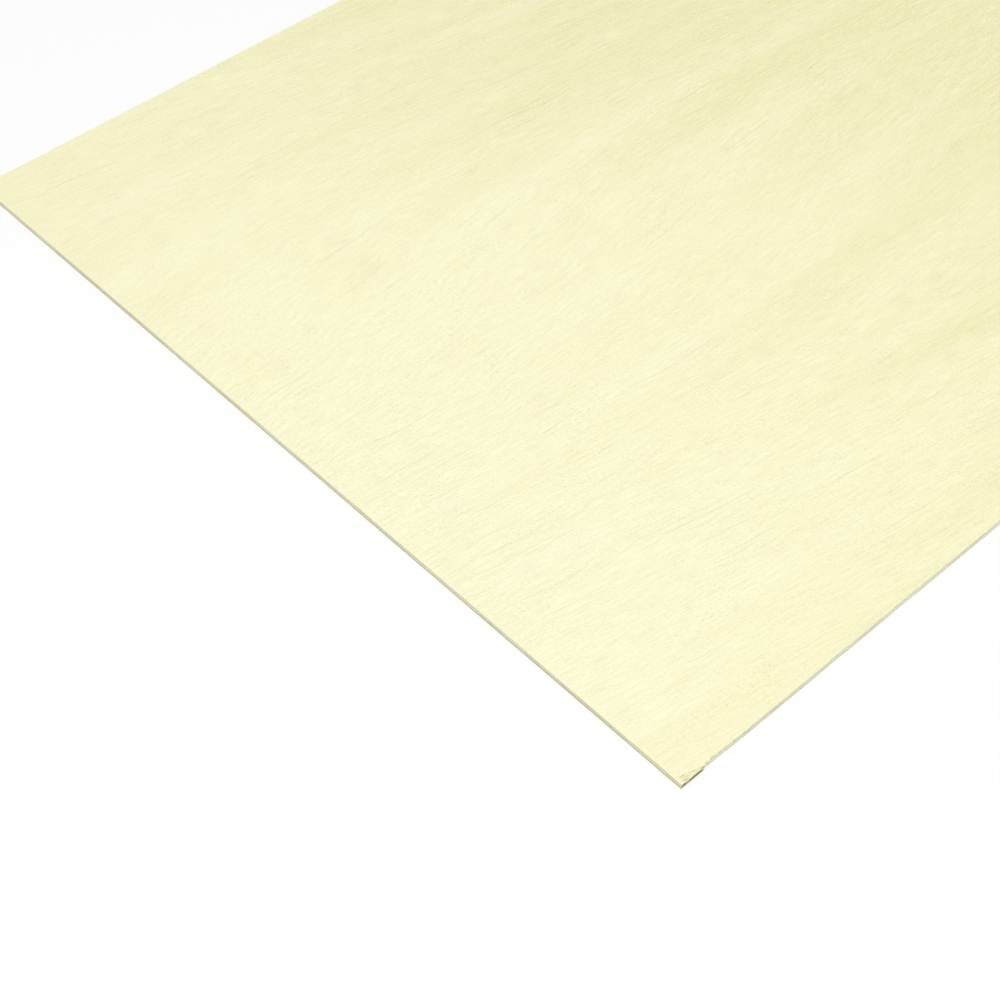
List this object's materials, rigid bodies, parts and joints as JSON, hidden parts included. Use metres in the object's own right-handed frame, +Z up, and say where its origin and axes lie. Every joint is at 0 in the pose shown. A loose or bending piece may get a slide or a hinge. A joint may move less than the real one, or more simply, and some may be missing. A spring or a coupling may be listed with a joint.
{
  "type": "plywood sheet",
  "caption": "Thin flat rectangular sheet of pale plywood: crossed veneers with sawn edges, and splintered face grain at one corner.",
  "frame": {"origin": "centre of the underside of the sheet", "axes": "+X along the length and the face grain, +Z up through the sheet's thickness"},
  "size_m": [1, 0.5, 0.003],
  "materials": {
    "face_ply": "unfinished",
    "core_ply": "unfinished",
    "back_ply": "unfinished"
  },
  "bodies": {
    "root": {"face_veneer": "face_ply", "core_veneer": "core_ply", "back_veneer": "back_ply"}
  },
  "joints": []
}
